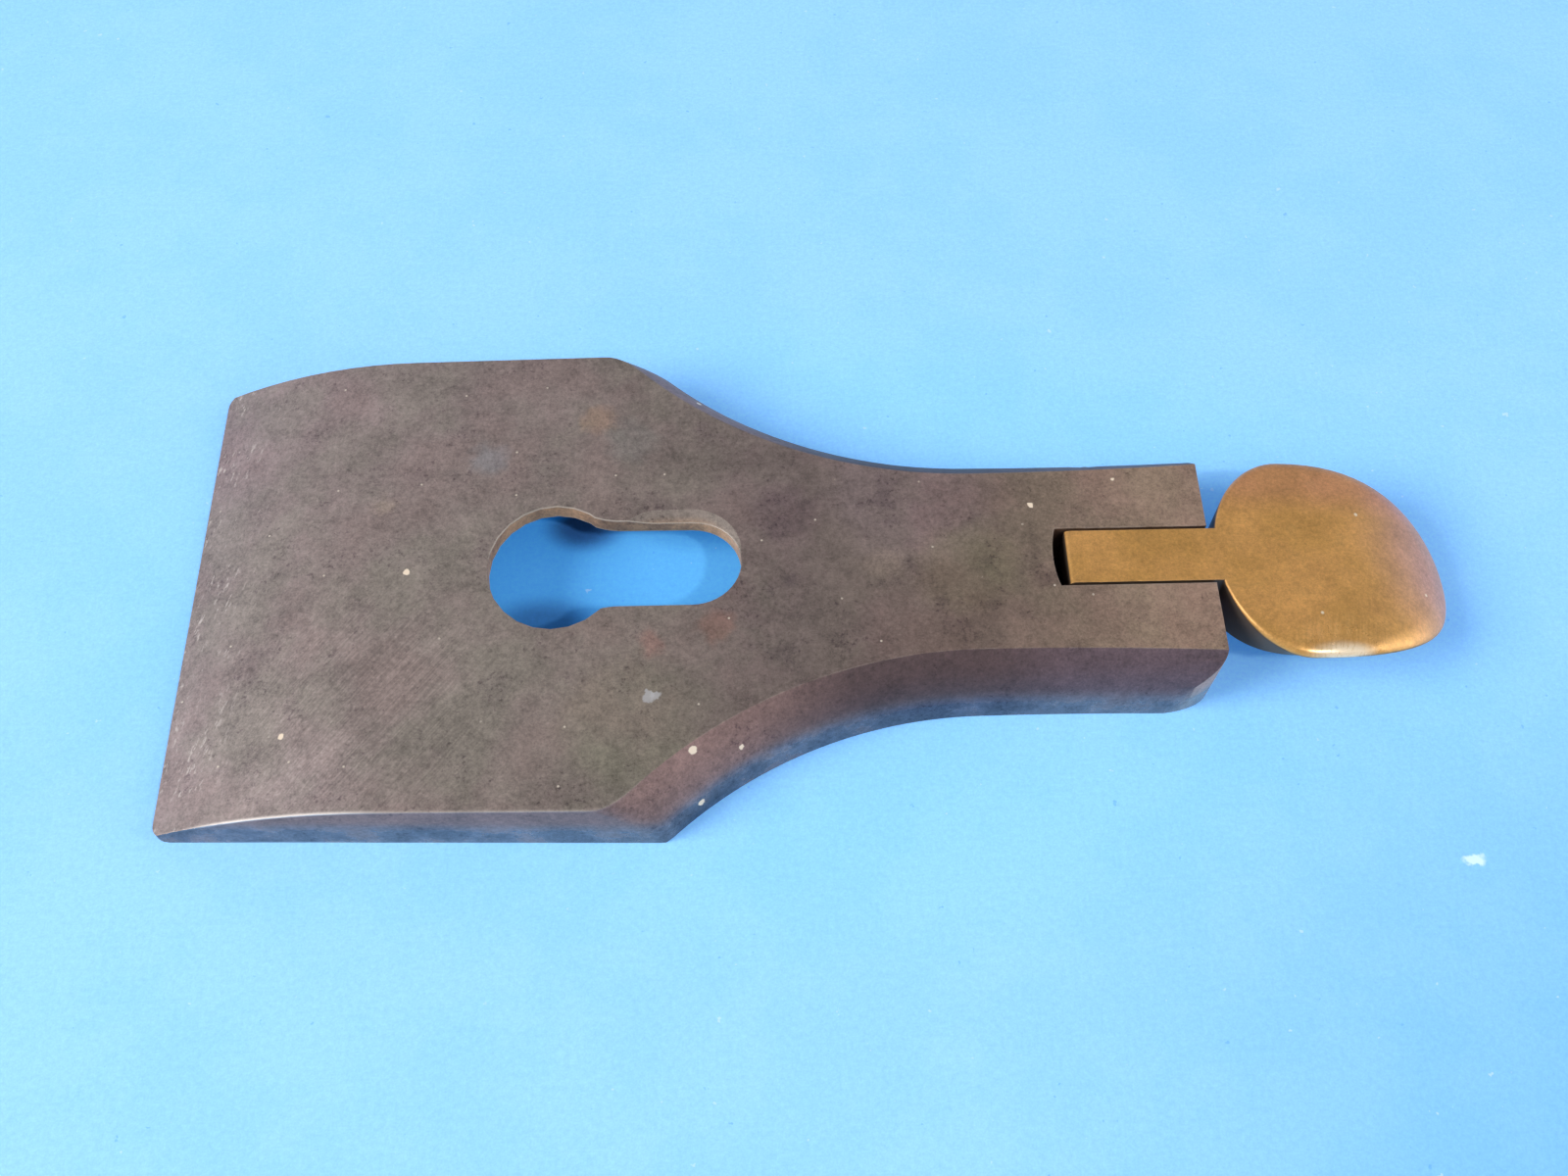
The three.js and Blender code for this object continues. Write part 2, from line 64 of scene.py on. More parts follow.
# Card: its open colour, the painted shade round the cap, inside the keyhole and towards one corner, and the
# light that it adds for the camera, mirrors and glass alone
FLOOR_SIZE = 6.0
OPEN_CARD = (0.36, 0.69, 1.0)
SHADED_NEAR_CARD = (0.335, 0.7, 1.0)
SHADED_COVERED_CARD = (0.155, 0.58, 1.0)
CARD_GLOW = (0, 0.08, 0.32)
# Painted shade: the card's deeper blues round the cap and under the keyhole
SHADE_NEAR_CAP = ((62, 0, 0), 0.6, 0.5, (82, 40, 1))
SHADE_INSIDE_KEYHOLE = ((44, 2, 0), 0.8, 0.25, (19, 13, 1))
NEAR_SHADE = ((35.5, -2.8, 0), 0.6, 1.6, (3.4, 1.9, 1))
FAR_SHADE = ((39.2, 9, 0), 0.7, 1.5, (2.4, 1.7, 1))
SHADE_FILTER = (0.3, 0.42, 0.75)
# Painted shade: the card dimmer towards one corner, where the lamps' light falls off
SHADED_CARD_CORNER = ((145, -68, 0), 15, 62)
SHADED_CARD_CORNER_FILTER = (0.72, 0.82, 1.0)
CLOUD_FILTER = (0.93, 0.965, 1.0)
DARK_MARK = (0.08, 0.3, 0.6)
PALE_MARK = (0.8, 0.92, 1.0)
WHITE_MARK = (0.75, 0.95, 1.0)
WHITE_MARK_PLACE = ((125.8, -29.2, 0), 0.3, 0.4, (2.2, 1, 1))
CARD_FIBRE_STRENGTH = 0.4

# Casting: where one finish gives way to another, along the cap unless the name says otherwise
CROWN_END = (14, 10)
SCUFFED_FRONT = (9, 3)
BLADE_TO_WAIST = (52, 68)
WAIST_TO_NECK = (78, 90)
INTO_WAIST = (60, 75)
OUT_OF_WAIST = (90, 78)
NECK_TO_EARS = (90, 96)
DARK_PATCHES_GROW = (38, 66)
ACROSS_THE_TOP = (-4, 22)
DOWN_THE_FLANK = (5.0, 2.0)
UP_THE_DISH = (5.2, 6.0)
TOP_SLOPE = 0.0246  # how much the top face rises towards the back
CASTING_MIDDLE = (50, 0, 4)

# Top face: browns, with their places as shares of the casting's length, and what tints them
TOP_BROWNS = (
    (0.0, (0.29, 0.232, 0.226)),
    (0.25, (0.262, 0.216, 0.198)),
    (0.45, (0.225, 0.184, 0.164)),
    (0.6, (0.18, 0.134, 0.128)),
    (0.78, (0.185, 0.137, 0.113)),
    (0.95, (0.315, 0.216, 0.163)),
)
GREENISH_FILTER = (0.96, 1.02, 0.97)
REDDISH_FILTER = (1.02, 0.98, 0.985)
FAR_SIDE_FILTER = (1.0, 0.98, 1.02)
# Painted sheen where the top face catches the light near the front's near corner
SHEEN = ((14, -21, 6), 1, 13, (1, 1, 4))
SHEEN_FILTER = (1.07, 1.08, 1.09)
BRIGHTEST_SHEEN = ((15.5, -23.5, 6), 1, 7, (1, 1, 4))
BRIGHTEST_SHEEN_FILTER = (1.07, 1.07, 1.09)
DARK_PATCH_FILTER = (0.8, 0.78, 0.82)

# Stains on the top face: place along X and Y, reach, and the filter that the brown is seen through
STAINS = (
    ((46.7, -8.9), 0.6, (1.22, 0.98, 0.96)),
    ((53.1, -7.2), 0.9, (1.12, 0.92, 0.86)),
    ((40.9, 17.6), 0.9, (1.2, 1.06, 0.92)),
    ((19.4, 7.5), 0.5, (1.32, 1.3, 1.2)),
    ((69.7, -0.4), 0.9, (1.25, 1.24, 1.2)),
    ((29.9, 12.9), 1.0, (0.96, 1.1, 1.2)),
    ((44.5, 15), 1.5, (0.96, 1.05, 1.06)),
    ((45, -17), 4, (1.0, 1.05, 0.97)),
    ((73, 8), 5, (1.2, 1.18, 1.3)),
    ((78, -1), 3, (1.02, 1.07, 0.96)),
    ((60, 6), 2, (0.86, 0.84, 0.88)),
    ((60.4, -1.9), 0.4, (0.75, 0.75, 0.78)),
)
STAIN_HEIGHT = 7.5
STAIN_BLUR = 0.6  # added to a stain's reach
STAIN_STRETCH = (1, 1, 9)

# Flanks, from front to back, the painted reflection on the ears' rear corners, the iron rubbed bare below the
# flanks, and the painted shade on that bare iron in the waist
BLADE_FLANK = (0.25, 0.155, 0.14)
WAIST_FLANK = (0.085, 0.052, 0.053)
NECK_FLANK = (0.12, 0.078, 0.09)
EAR_CORNER_REFLECTION = (0.46, 0.3, 0.25)
BRIGHT_BARE_IRON = (0.28, 0.22, 0.23)
DULL_BARE_IRON = (0.2, 0.15, 0.16)
SHADED_WAIST_FILTER = (0.7, 0.7, 0.78)

# Keyhole, with its walls and the dish beside its slot, and the hollow underside
KEYHOLE = ((43.5, 0, 6), 1, 0.03, (14.6, 9.2, 8))
PALE_WALL = (0.6, 0.35, 0.18)
DARK_WALL = (0.36, 0.21, 0.11)
DISH_BOTTOM = (0.33, 0.2, 0.11)
DISH_BRIM = (0.22, 0.185, 0.165)
DARK_RUST = (0.075, 0.045, 0.035)
RED_RUST = (0.13, 0.07, 0.04)

# Fine marks of the casting
MOTTLE_STRENGTH = 1.9
SPECKLE_STRENGTH = 1.1
SCRATCH_BEARING = math.radians(52)
SCRATCHED = ((19, -15, 6), 5, 15, (1, 1, 4))
PIT_FILTER = (0.58, 0.54, 0.58)
SCUFF_BEARING = math.radians(70)
PALE_SCUFF = (0.6, 0.53, 0.5)
GREY_SCUFF = (0.5, 0.5, 0.52)
DUST = (0.62, 0.55, 0.47)
DUST_SPACING = 9
CREAM_PAINT = (0.86, 0.72, 0.57)

# Edges of the casting: how wide the wear is, where wear and a painted highlight make it brightest, and their
# colours
WORN_EDGE_WIDTH = 0.3 * MM
EDGE_HIGHLIGHT_WIDTH = 0.5 * MM
WORN_EDGE_HIGHLIGHT = ((13, -25.5, 5), 3, 5, (1.4, 1, 1))
DULLER_EDGE_HIGHLIGHT = ((24, -25.5, 5), 3.5, 5, (3.5, 1, 1))
HOLE_RIM = ((43, 4.2, 7), 1, 0.3, (13, 4.5, 3))
RUBBED_EDGE = (0.42, 0.35, 0.31)
BARE_EDGE_AND_HIGHLIGHT = (0.95, 0.87, 0.83)
BARE_HOLE_RIM = (0.6, 0.54, 0.47)

# Flecks of cream paint on the casting, pale flecks on the brass and two grey scuffs, with their radius
FLECKS = (
    ((22.6, -0.3, 6.7), 0.36),
    ((12.2, -17.4, 5.5), 0.3),
    ((85.1, 6.2, 8.3), 0.3),
    ((93.8, 9.1, 8.5), 0.16),
    ((50.9, -19.9, 6.9), 0.42),
    ((55.5, -18.9, 5.2), 0.25),
    ((51.7, -23.2, 2.1), 0.38),
    ((51.4, 20.7, 6.0), 0.3),
)
BRASS_FLECKS = (
    ((118.5, 5, 8.0), 0.2),
    ((125, -3, 5.2), 0.16),
    ((112.5, -6.8, 8.7), 0.16),
)
GREY_SCUFFS = (
    ((46.7, -14.5, 7.3), 0.5),
    ((47.3, -14.4, 7.3), 0.4),
)

# Brass: its two tones, what tints them on the pad (painted reflections at the tip and far edge, and painted
# highlights where the thumb rubs the near rim), its marks, and the painted shade on its upright sides
DEEP_BRASS = (0.575, 0.308, 0.088)
BRIGHT_BRASS = (0.65, 0.342, 0.108)
TARNISH = (0.42, 0.25, 0.08)
PAD_TIP_REFLECTION = ((131, 2, 4), 5, 10)
PAD_TIP_REFLECTION_FILTER = (0.98, 1.0, 2.5)
PAD_FAR_EDGE_REFLECTION = ((114, 10, 6), 2, 4, (4, 1, 4))
PAD_FAR_EDGE_REFLECTION_FILTER = (0.95, 0.88, 1.3)
PAD_RUBBED_AND_HIGHLIGHT = ((114, -10, 7.5), 1, 3.5, (1.6, 1, 1))
PAD_HIGHLIGHT_FILTER = (1.25, 1.3, 1.5)
PAD_RIM_HIGHLIGHT = ((114.2, -10.9, 8), 0.4, 1.0, (3.2, 1, 1))
HIGHLIGHT_BRASS = (1.0, 0.83, 0.6)
BRASS_MOTTLE_STRENGTH = 1.0
BRASS_SPECKLE_STRENGTH = 0.8
DARK_SPECK = (0.2, 0.12, 0.05)
PALE_SPECK = (0.85, 0.7, 0.5)
PALE_FLECK = (0.9, 0.75, 0.55)
SHADED_BRASS_SIDE = (0.1, 0.075, 0.055)
BRASS_EDGE = (0.9, 0.66, 0.4)
BRASS_EDGE_WIDTH = 0.15 * MM
BRASS_STREAK_BEARING = math.radians(80)

# Relief: rounding of the edges, and how deep each pattern goes
EDGE_ROUNDING = 0.12 * MM
STEEL_ROUNDING = 0.1 * MM
CAST_DEPTH = 0.12 * MM
IRON_GRAIN_DEPTH = 0.012 * MM
SCRATCH_DEPTH = 0.004 * MM
FINE_GRAIN_DEPTH = 0.006 * MM
PATCH_DEPTH = 0.015 * MM

# Smoothing of the CAD pieces
WELD_DISTANCE = 0.0005 * MM
CRISP_ANGLE = math.radians(24)

# Sockets of a Mix node set to colours, where names alone would find its sockets for numbers
MIX_SHARE = 0
MIX_BELOW = 6
MIX_ABOVE = 7
MIX_RESULT = 2


class Wire:
    """A socket in a material that can be used in sums, as a number would be."""

    def __init__(self, paint, socket):
        self.paint = paint
        self.socket = socket

    def maths(self, operation, first, second):
        return self.paint.node("Math", {"operation": operation}, {0: first, 1: second})

    def __add__(self, other):
        return self.maths("ADD", self, other)

    __radd__ = __add__

    def __sub__(self, other):
        return self.maths("SUBTRACT", self, other)

    def __rsub__(self, other):
        return self.maths("SUBTRACT", other, self)

    def __mul__(self, other):
        return self.maths("MULTIPLY", self, other)

    __rmul__ = __mul__

    def at_least(self, other):
        """The larger of two numbers."""
        return self.maths("MAXIMUM", self, other)

    def rise(self, low, high):
        """0 below low, 1 above high and a smooth rise between. With low above high it falls instead."""
        if low > high:
            return 1 - self.rise(high, low)
        settings = {"interpolation_type": "SMOOTHSTEP"}
        return self.paint.node("MapRange", settings, {"Value": self, "From Min": low, "From Max": high})


class Paint:
    """The nodes of one material or of the sky."""

    def __init__(self, tree):
        self.tree = tree
        tree.nodes.clear()

    def node(self, kind, settings=None, values=None, output=0):
        """Adds a node, gives it its settings and then its sockets' values or links, and returns an output."""
        made = self.tree.nodes.new("ShaderNode" + kind)
        for name, setting in (settings or {}).items():
            if name == "stops":
                for _ in setting[2:]:
                    made.color_ramp.elements.new(1)
                for stop, (place, colour) in zip(made.color_ramp.elements, setting):
                    stop.position = place
                    stop.color = (*colour, 1)
            else:
                setattr(made, name, setting)
        for name, value in (values or {}).items():
            socket = made.inputs[name]
            if isinstance(value, Wire):
                self.tree.links.new(value.socket, socket)
            elif socket.type == "RGBA":
                socket.default_value = (*value, 1)
            else:
                socket.default_value = value
        return Wire(self, made.outputs[output]) if len(made.outputs) else None

    def vector(self, operation, *vectors, output="Vector"):
        """Vector sums. Their output is Vector, or Value where the result is a number."""
        return self.node("VectorMath", {"operation": operation}, dict(enumerate(vectors)), output)

    def scaled(self, vector, amount):
        """A place, or a colour, times a number."""
        return self.node("VectorMath", {"operation": "SCALE"}, {0: vector, "Scale": amount})

    def part(self, vector, axis):
        """One of a vector's numbers: X, Y or Z."""
        return self.node("SeparateXYZ", None, {"Vector": vector}, output=axis)

    def place(self):
        """Where a point is, in millimetres from the middle of the clamping edge."""
        own = self.node("TexCoord", output="Object")
        return self.scaled(self.vector("SUBTRACT", own, (clamping_edge_x, 0, 0)), 1 / MM)

    def own_normal(self):
        return self.node("TexCoord", output="Normal")

    def noise(self, place, size, seed=0, detail=3, roughness=0.55, output=0):
        """Cloudy pattern round 0.5 whose largest patches are about size millimetres across."""
        moved = self.vector("ADD", place, [seed * step for step in SEED_STEP])
        values = {"Vector": moved, "Scale": 1 / size, "Detail": detail, "Roughness": roughness}
        return self.node("TexNoise", None, values, output)

    def ragged(self, place, size, push):
        """The place pushed about by noise, so that what is drawn there gets ragged outlines."""
        colours = self.noise(place, size, RAGGED_SEED, output="Color")
        pushes = self.vector("SUBTRACT", colours, (0.5, 0.5, 0.5))
        return self.vector("ADD", place, self.scaled(pushes, push))

    def streaks(self, place, bearing, length, width, seed=0):
        """Noise drawn out into streaks that lie at an angle to X."""
        turned = self.node("VectorRotate", {"rotation_type": "Z_AXIS"}, {"Vector": place, "Angle": -bearing})
        squeezed = self.vector("MULTIPLY", turned, (1 / length, 1 / width, 1 / width))
        return self.noise(squeezed, size=1, seed=seed, detail=4, roughness=0.7)

    def spot(self, place, centre, radius, blur, stretch=(1, 1, 1)):
        """1 within radius of a centre, fading to 0 over blur. A stretch multiplies both along X, Y and Z."""
        shaped = self.vector("DIVIDE", self.vector("SUBTRACT", place, centre), stretch)
        return self.vector("LENGTH", shaped, output="Value").rise(radius + blur, radius)

    def flecks(self, place, flecks):
        """Small round flecks, each given by its centre and radius."""
        return sum(self.spot(place, centre, radius - FLECK_BLUR / 2, FLECK_BLUR) for centre, radius in flecks)

    def mix(self, share, below, above):
        """One colour over another, as far as share says."""
        values = {MIX_SHARE: share, MIX_BELOW: below, MIX_ABOVE: above}
        return self.node("Mix", {"data_type": "RGBA"}, values, MIX_RESULT)

    def tint(self, share, colour, seen_through):
        """A colour seen through a filter, as far as share says."""
        settings = {"data_type": "RGBA", "blend_type": "MULTIPLY"}
        values = {MIX_SHARE: share, MIX_BELOW: colour, MIX_ABOVE: seen_through}
        return self.node("Mix", settings, values, MIX_RESULT)

    def rounded(self, radius):
        """Normal of a surface whose edges are rounded."""
        return self.node("Bevel", {"samples": EDGE_SAMPLES}, {"Radius": radius})

    def sharpness(self, radius):
        """High near sharp edges: how far a rounded normal leans from the true one."""
        rounded = self.rounded(radius)
        true = self.node("NewGeometry", output="Normal")
        return self.vector("DISTANCE", rounded, true, output="Value")

    def relief(self, layers, rounding):
        """Normal with fine bumps of several depths, over edges rounded by a small radius."""
        normal = self.rounded(rounding)
        for height, depth in layers:
            normal = self.node("Bump", None, {"Height": height, "Distance": depth, "Normal": normal})
        return normal

    def finish(self, sockets):
        """Ends the material in one shader, whose sockets are given by name."""
        self.node("OutputMaterial", None, {"Surface": self.node("BsdfPrincipled", None, sockets)})


def new_material(name):
    material = bpy.data.materials.new(name)
    material.use_nodes = True
    return material, Paint(material.node_tree)


class Casting:
    """Where the finishes of the casting lie, and the patterns that they share."""

    def __init__(self, paint):
        self.place = paint.place()
        self.x, self.y, self.z = (paint.part(self.place, axis) for axis in "XYZ")
        normal = paint.own_normal()
        self.backward = paint.part(normal, "X")
        # Lean is 1 on a level top, 0 on an upright face and -1 on one that looks down
        self.lean = paint.part(normal, "Z")
        crown = self.x.rise(*CROWN_END) * self.lean.rise(0.4, 0.6)
        self.top = self.lean.rise(0.86, 0.96).at_least(crown)
        from_middle = paint.vector("SUBTRACT", self.place, CASTING_MIDDLE)
        outside = paint.vector("DOT_PRODUCT", normal, from_middle, output="Value").rise(0, 2)
        self.keyhole = paint.spot(self.place, *KEYHOLE)
        hollow = (1 - outside) * (1 - self.keyhole) * self.lean.rise(0.8, 0.5)
        self.under = hollow.at_least(self.lean.rise(-0.3, -0.7))

        self.hues = paint.noise(self.place, size=11, seed=2, detail=5, roughness=0.6)
        self.patches = paint.noise(self.place, size=5, seed=3, detail=5, roughness=0.65)
        self.grain = paint.noise(self.place, size=0.5, seed=4, detail=3, roughness=0.7)
        self.scratches = paint.streaks(self.place, SCRATCH_BEARING, length=8, width=0.17)
        self.scratched = paint.spot(self.place, *SCRATCHED)
        low_flank = self.z.rise(*DOWN_THE_FLANK) * self.lean.rise(0.62, 0.3) * outside
        self.bare = low_flank * (0.55 + 0.9 * self.patches.rise(0.3, 0.6))


def top_brown(paint, iron):
    """Brown of the top face: clouded, tinted, with painted sheen where it catches the light, and stained."""
    brown = paint.node("ValToRGB", {"stops": TOP_BROWNS}, {"Fac": iron.x * (1 / casting_length)})
    brown = paint.tint(iron.hues.rise(0.45, 0.62), brown, GREENISH_FILTER)
    brown = paint.tint(iron.hues.rise(0.5, 0.36), brown, REDDISH_FILTER)
    brown = paint.tint(iron.y.rise(*ACROSS_THE_TOP), brown, FAR_SIDE_FILTER)
    # Painted sheen near the front's near corner
    brown = paint.tint(paint.spot(iron.place, *SHEEN), brown, SHEEN_FILTER)
    brown = paint.tint(paint.spot(iron.place, *BRIGHTEST_SHEEN), brown, BRIGHTEST_SHEEN_FILTER)
    ragged_place = paint.ragged(iron.place, size=2.5, push=3.2)
    for place, reach, seen_through in STAINS:
        stain = paint.spot(ragged_place, (*place, STAIN_HEIGHT), reach, reach + STAIN_BLUR, STAIN_STRETCH)
        brown = paint.tint(stain, brown, seen_through)
    dark = iron.patches.rise(0.54, 0.68) * (0.4 + 0.6 * iron.x.rise(*DARK_PATCHES_GROW))
    return paint.tint(dark, brown, DARK_PATCH_FILTER)


def flank_brown(paint, iron):
    """Dull brown flanks, rubbed bare low down so that they mirror the ground there, with painted shade on the
    waist's bare iron and a painted reflection on the ears' rear corners.
    """
    flank = paint.mix(iron.x.rise(*BLADE_TO_WAIST), BLADE_FLANK, WAIST_FLANK)
    flank = paint.mix(iron.x.rise(*WAIST_TO_NECK), flank, NECK_FLANK)
    bare_iron = paint.mix(iron.patches.rise(0.4, 0.62), BRIGHT_BARE_IRON, DULL_BARE_IRON)
    # Painted shade: the bare iron of the waist darker
    shaded_waist = iron.x.rise(*INTO_WAIST) * iron.x.rise(*OUT_OF_WAIST)
    bare_iron = paint.tint(shaded_waist, bare_iron, SHADED_WAIST_FILTER)
    flank = paint.mix(iron.bare, flank, bare_iron)
    # Painted reflection: the ears' rear corners lighter where they face back and down
    ear_corner_reflection = iron.backward.rise(0.12, 0.3) * iron.lean.rise(0.5, 0.3) * iron.x.rise(*NECK_TO_EARS)
    return paint.mix(ear_corner_reflection, flank, EAR_CORNER_REFLECTION)


def add_keyhole(paint, iron, colour):
    """The keyhole's golden-brown walls, and the dish worn bright beside its slot."""
    wall = iron.keyhole * iron.lean.rise(0.7, 0.5) * iron.lean.rise(-0.6, -0.3)
    colour = paint.mix(wall, colour, paint.mix(iron.patches.rise(0.4, 0.6), PALE_WALL, DARK_WALL))
    dish = iron.keyhole * iron.lean.rise(0.97, 0.94) * iron.lean.rise(0.5, 0.8)
    up_the_dish = (iron.z - TOP_SLOPE * iron.x).rise(*UP_THE_DISH)
    return paint.mix(dish, colour, paint.mix(up_the_dish, DISH_BOTTOM, DISH_BRIM))


def add_fine_marks(paint, iron, colour):
    """Mottling, grinding scratches, dark pits, and pale scuffs behind the clamping edge."""
    mottle = paint.noise(iron.place, size=7, seed=1, detail=6, roughness=0.95)
    speckle = paint.noise(iron.place, size=0.45, seed=8, detail=2, roughness=1)
    lightness = 1 + MOTTLE_STRENGTH * (mottle - 0.5) + SPECKLE_STRENGTH * (speckle - 0.5)
    colour = paint.scaled(colour, lightness)
    scratch_lightness = 0.8 + 0.4 * iron.scratches.rise(0.3, 0.7)
    colour = paint.tint(iron.scratched * iron.top, colour, paint.scaled((1, 1, 1), scratch_lightness))
    pits = iron.grain.rise(0.46, 0.34) * iron.patches.rise(0.5, 0.62) + iron.grain.rise(0.34, 0.26)
    colour = paint.tint(pits, colour, PIT_FILTER)
    scuffs = paint.streaks(iron.place, SCUFF_BEARING, length=1.6, width=0.5, seed=5)
    scuffed = scuffs.rise(0.54, 0.66) * iron.patches.rise(0.46, 0.55)
    scuffed = scuffed * iron.x.rise(*SCUFFED_FRONT) * iron.lean.rise(0.5, 0.7)
    return paint.mix(scuffed * 0.8, colour, PALE_SCUFF)


def add_worn_edges(paint, iron, colour):
    """Edges rubbed pale, brightest along the crown's near side, where a painted highlight lies over the wear,
    and round the keyhole.
    """
    edges = paint.sharpness(WORN_EDGE_WIDTH).rise(0.15, 0.5)
    rubbed = edges * paint.noise(iron.place, size=2.2, seed=6).rise(0.38, 0.62)
    colour = paint.mix(rubbed * 0.45, colour, RUBBED_EDGE)
    # Painted highlight over the worn edge along the crown's near side
    shine = 0.75 * paint.spot(iron.place, *WORN_EDGE_HIGHLIGHT) + 0.25 * paint.spot(iron.place, *DULLER_EDGE_HIGHLIGHT)
    edge_wear_and_highlight = paint.sharpness(EDGE_HIGHLIGHT_WIDTH).rise(0.1, 0.4) * shine
    colour = paint.mix(edge_wear_and_highlight, colour, BARE_EDGE_AND_HIGHLIGHT)
    hole_rim = edges * paint.spot(iron.place, *HOLE_RIM)
    return paint.mix(hole_rim * 0.8, colour, BARE_HOLE_RIM)


def add_scuffs_and_dust(paint, iron, colour):
    """Two grey scuffs on the blade, and specks of pale dust on the top face."""
    for centre, radius in GREY_SCUFFS:
        scuff = paint.spot(paint.ragged(iron.place, size=0.7, push=1.2), centre, radius, blur=0.2)
        colour = paint.mix(scuff * 0.7, colour, GREY_SCUFF)
    scattered = {"Vector": iron.place, "Scale": 1 / DUST_SPACING}
    dust = paint.node("TexVoronoi", {"voronoi_dimensions": "2D"}, scattered).rise(0.016, 0.009)
    return paint.mix(dust * iron.top * iron.patches.rise(0.42, 0.5), colour, DUST)


def patinated_iron():
    """Old iron gone brown: mottled all over, stained, scratched in front, bare on its lower flanks."""
    material, paint = new_material("patinated_iron")
    iron = Casting(paint)
    colour = paint.mix(iron.top, flank_brown(paint, iron), top_brown(paint, iron))
    colour = add_keyhole(paint, iron, colour)
    rust = paint.mix(iron.hues.rise(0.42, 0.6), DARK_RUST, RED_RUST)
    colour = paint.mix(iron.under, colour, rust)
    colour = add_fine_marks(paint, iron, colour)
    colour = add_worn_edges(paint, iron, colour)
    colour = add_scuffs_and_dust(paint, iron, colour)
    flecks = paint.flecks(paint.ragged(iron.place, size=0.6, push=0.5), FLECKS)
    colour = paint.mix(flecks, colour, CREAM_PAINT)

    metallic = (0.25 + 0.55 * iron.bare * (1 - iron.top)) * (1 - flecks)
    roughness = 0.5 + 0.2 * (iron.patches - 0.5) - 0.22 * iron.bare + 0.15 * iron.under
    cast_skin = paint.noise(iron.place, size=0.9, seed=7, detail=3) * iron.under
    layers = [
        (cast_skin, CAST_DEPTH),
        (iron.grain, IRON_GRAIN_DEPTH),
        (iron.scratches * iron.scratched, SCRATCH_DEPTH),
    ]
    normal = paint.relief(layers, EDGE_ROUNDING)
    paint.finish({"Base Color": colour, "Metallic": metallic, "Roughness": roughness, "Normal": normal})
    return material


def aged_brass():
    """Yellow-brown brass with small dark specks, rubbed by the thumb, with painted highlights and reflections
    on the pad and painted shade on its upright sides.
    """
    material, paint = new_material("aged_brass")
    place = paint.place()
    lean = paint.part(paint.own_normal(), "Z")
    mottle = paint.noise(place, size=6, seed=1, detail=6, roughness=0.9)
    clouds = paint.noise(place, size=7, seed=2, detail=4)
    patches = paint.noise(place, size=2.6, seed=3, detail=5, roughness=0.62)
    grain = paint.noise(place, size=0.3, seed=4, detail=3, roughness=0.7)
    speckle = paint.noise(place, size=0.4, seed=5, detail=2, roughness=1)
    streaks = paint.streaks(place, BRASS_STREAK_BEARING, length=3, width=0.25, seed=6)

    colour = paint.mix(clouds.rise(0.38, 0.62), DEEP_BRASS, BRIGHT_BRASS)
    colour = paint.mix(patches.rise(0.54, 0.68) * 0.25, colour, TARNISH)
    # Painted reflections of pale light on the pad's curled tip and far edge
    colour = paint.tint(paint.spot(place, *PAD_TIP_REFLECTION), colour, PAD_TIP_REFLECTION_FILTER)
    colour = paint.tint(paint.spot(place, *PAD_FAR_EDGE_REFLECTION), colour, PAD_FAR_EDGE_REFLECTION_FILTER)
    # Thumb-rubbed patch: its lower roughness is the brass's own, its lighter streaks a painted highlight
    rubbed = paint.spot(place, *PAD_RUBBED_AND_HIGHLIGHT)
    colour = paint.tint(rubbed * streaks.rise(0.4, 0.6), colour, PAD_HIGHLIGHT_FILTER)
    lightness = 1 + BRASS_MOTTLE_STRENGTH * (mottle - 0.5) + BRASS_SPECKLE_STRENGTH * (speckle - 0.5)
    colour = paint.scaled(colour, lightness)
    colour = paint.mix(grain.rise(0.68, 0.76) * 0.5, colour, DARK_SPECK)
    colour = paint.mix(grain.rise(0.25, 0.18) * 0.6, colour, PALE_SPECK)
    colour = paint.mix(paint.flecks(place, BRASS_FLECKS), colour, PALE_FLECK)
    # Painted highlight on the pad's near rim
    rim_highlight = paint.spot(place, *PAD_RIM_HIGHLIGHT)
    colour = paint.mix(rim_highlight * streaks.rise(0.2, 0.5), colour, HIGHLIGHT_BRASS)
    # Painted shade on the upright sides
    side = lean.rise(0.45, 0.1)
    colour = paint.mix(side, colour, SHADED_BRASS_SIDE)
    edges = paint.sharpness(BRASS_EDGE_WIDTH).rise(0.15, 0.5) * grain.rise(0.4, 0.6)
    colour = paint.mix(edges * (1 - side) * 0.2, colour, BRASS_EDGE)

    roughness = 0.36 + 0.2 * (patches - 0.5) + 0.14 * grain - 0.2 * rubbed
    normal = paint.relief([(grain, FINE_GRAIN_DEPTH), (patches, PATCH_DEPTH)], EDGE_ROUNDING)
    paint.finish({"Base Color": colour, "Metallic": 0.4, "Roughness": roughness, "Normal": normal})
    return material


def dull_steel(name, light, dark, smoothest):
    """Steel with clouds of tarnish and a fine grain. Smoothest is the least roughness that it has."""
    material, paint = new_material(name)
    place = paint.place()
    clouds = paint.noise(place, size=1.6, detail=4)
    grain = paint.noise(place, size=0.2, seed=1)
    colour = paint.mix(clouds.rise(0.4, 0.62), dark, light)
    roughness = smoothest + 0.2 * grain
    normal = paint.relief([(grain, FINE_GRAIN_DEPTH)], STEEL_ROUNDING)
    paint.finish({"Base Color": colour, "Metallic": 0.9, "Roughness": roughness, "Normal": normal})
    return material


